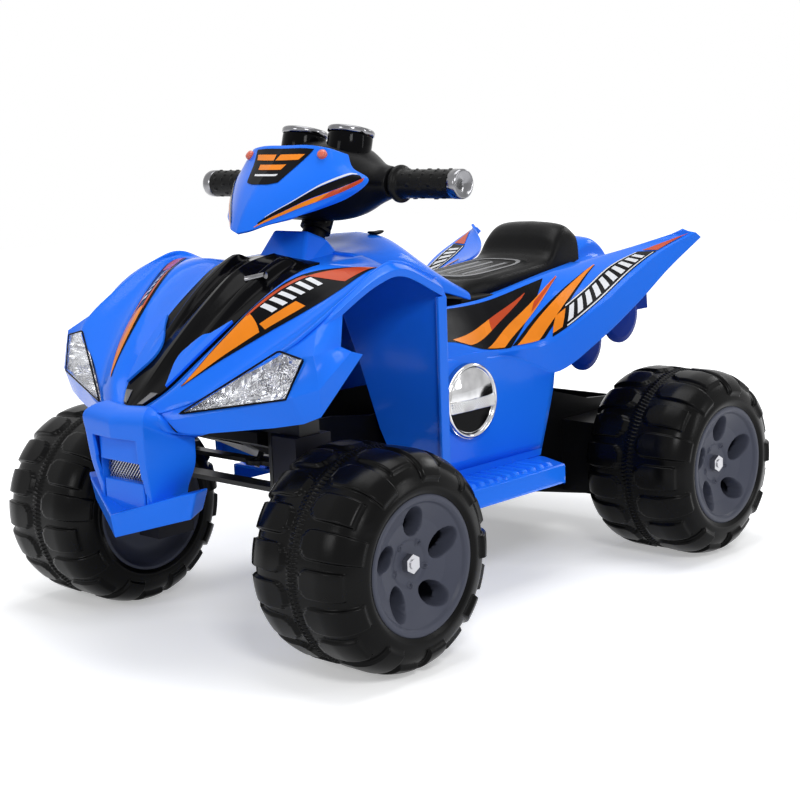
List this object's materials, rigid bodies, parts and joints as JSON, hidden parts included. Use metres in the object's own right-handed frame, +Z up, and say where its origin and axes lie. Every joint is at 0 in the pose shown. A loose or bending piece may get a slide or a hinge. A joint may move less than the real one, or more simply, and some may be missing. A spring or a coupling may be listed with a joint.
{
  "type": "kids quad bike",
  "caption": "Battery quad bike for a child: glossy blue body with fenders and wings, black seat, handlebar with twin gauges, chunky black wheels.",
  "frame": {"origin": "on the ground under the middle of the bounding box", "axes": "+Z up; the bike faces -Y; +X is its left side"},
  "size_m": [0.676, 0.976, 0.6448],
  "materials": {
    "body_blue": "bright glossy moulded polypropylene",
    "frame_black": "black moulded plastic",
    "tyre_black": "blow-moulded hard plastic with a semi-gloss skin",
    "slate_grey": "dark slate-grey plastic",
    "gloss_black": "glossy black plastic",
    "grip_rubber": "soft black grip",
    "lens_clear": "clear moulded lens",
    "chrome_trim": "bright plated trim",
    "stud_red": "orange-red plastic",
    "gear_white": "natural nylon",
    "steel": "zinc-plated steel"
  },
  "bodies": {
    "chassis": {"axle_beam": "steel", "battery": "frame_black", "charge_socket": "frame_black", "chassis_tub": "frame_black", "column_bush": "frame_black", "control_box": "frame_black", "drive_motors": "steel", "engine_cover_left": "chrome_trim", "engine_cover_right": "chrome_trim", "footrest_left": "body_blue", "footrest_right": "body_blue", "front_body": "body_blue", "front_crossmember": "frame_black", "front_mask": "body_blue", "gearbox_case_left": "frame_black", "gearbox_case_right": "frame_black", "grille_mesh": "frame_black", "headlight_lens_left": "lens_clear", "headlight_lens_right": "lens_clear", "headlight_reflector_left": "chrome_trim", "headlight_reflector_right": "chrome_trim", "hood_insert": "gloss_black", "kingpins": "steel", "rear_axle": "steel", "rear_axle_nuts": "steel", "rear_body": "body_blue", "seat": "gloss_black"},
    "handlebar": {"steering_column": "steel", "handlebar_tube": "steel", "handlebar_cover": "frame_black", "handlebar_cowl": "body_blue", "grip_left": "grip_rubber", "grip_right": "grip_rubber", "grip_end_caps": "chrome_trim", "gauge_pod_left": "frame_black", "gauge_pod_right": "frame_black", "gauge_bezels": "chrome_trim", "cowl_studs": "stud_red"},
    "horn": {"horn_button": "stud_red"},
    "knuckle_left": {"knuckle_left": "slate_grey", "stub_axle_left": "steel", "front_nut_left": "steel"},
    "knuckle_right": {"knuckle_right": "slate_grey", "stub_axle_right": "steel", "front_nut_right": "steel"},
    "link": {"tie_rod": "steel"},
    "wheel_front_left": {"tyre_front_left": "tyre_black", "wheel_disc_front_left": "slate_grey"},
    "wheel_front_right": {"tyre_front_right": "tyre_black", "wheel_disc_front_right": "slate_grey"},
    "wheel_rear_left": {"tyre_rear_left": "tyre_black", "wheel_disc_rear_left": "slate_grey", "drive_gear_left": "gear_white"},
    "wheel_rear_right": {"tyre_rear_right": "tyre_black", "wheel_disc_rear_right": "slate_grey", "drive_gear_right": "gear_white"},
    "pinion_left": {"motor_pinion_left": "gear_white"},
    "pinion_right": {"motor_pinion_right": "gear_white"},
    "pedal": {"accelerator_pedal": "frame_black"},
    "rocker": {"drive_switch": "frame_black"}
  },
  "joints": [
    {"name": "steering", "type": "hinge", "parent": "chassis", "child": "handlebar", "pos_m": [0, -0.128, 0.505], "axis": [0, 0.5, 0.866], "range_deg": [-20, 20]},
    {"name": "knuckle_left_turn", "type": "hinge", "parent": "chassis", "child": "knuckle_left", "pos_m": [0.138, -0.301, 0.24], "axis": [0, 0, 1], "range_deg": [-16, 16]},
    {"name": "knuckle_right_turn", "type": "hinge", "parent": "chassis", "child": "knuckle_right", "pos_m": [-0.138, -0.301, 0.24], "axis": [0, 0, 1], "range_deg": [-16, 16]},
    {"name": "link_turn", "type": "hinge", "parent": "knuckle_left", "child": "link", "pos_m": [0.138, -0.251, 0.212], "axis": [0, 0, 1], "range_deg": [-16, 16]},
    {"name": "wheel_front_left_spin", "type": "hinge", "parent": "knuckle_left", "child": "wheel_front_left", "pos_m": [0.251, -0.301, 0.135], "axis": [1, 0, 0], "continuous": true},
    {"name": "wheel_front_right_spin", "type": "hinge", "parent": "knuckle_right", "child": "wheel_front_right", "pos_m": [-0.251, -0.301, 0.135], "axis": [1, 0, 0], "continuous": true},
    {"name": "wheel_rear_left_spin", "type": "hinge", "parent": "chassis", "child": "wheel_rear_left", "pos_m": [0.251, 0.353, 0.135], "axis": [1, 0, 0], "continuous": true},
    {"name": "wheel_rear_right_spin", "type": "hinge", "parent": "chassis", "child": "wheel_rear_right", "pos_m": [-0.251, 0.353, 0.135], "axis": [1, 0, 0], "continuous": true},
    {"name": "pinion_left_spin", "type": "hinge", "parent": "chassis", "child": "pinion_left", "pos_m": [0.114, 0.3035, 0.135], "axis": [1, 0, 0], "continuous": true},
    {"name": "pinion_right_spin", "type": "hinge", "parent": "chassis", "child": "pinion_right", "pos_m": [-0.114, 0.3035, 0.135], "axis": [1, 0, 0], "continuous": true},
    {"name": "pedal_press", "type": "hinge", "parent": "chassis", "child": "pedal", "pos_m": [-0.176, -0.011, 0.171], "axis": [1, 0, 0], "range_deg": [0, 12], "stiffness_Nm_per_rad": 2},
    {"name": "horn_press", "type": "slide", "parent": "handlebar", "child": "horn", "axis": [0, -1, 0], "range_m": [0, 0.003], "stiffness_N_per_m": 300},
    {"name": "switch_rock", "type": "hinge", "parent": "chassis", "child": "rocker", "pos_m": [0.038, -0.051, 0.4983], "axis": [1, 0, 0], "range_deg": [-9, 9]}
  ],
  "couplings": [
    {"joint": "knuckle_left_turn", "follows": "steering", "ratio": 0.8},
    {"joint": "knuckle_right_turn", "follows": "steering", "ratio": 0.8},
    {"joint": "link_turn", "follows": "steering", "ratio": -0.8},
    {"joint": "pinion_left_spin", "follows": "wheel_rear_left_spin", "ratio": -4.5},
    {"joint": "pinion_right_spin", "follows": "wheel_rear_right_spin", "ratio": -4.5}
  ]
}
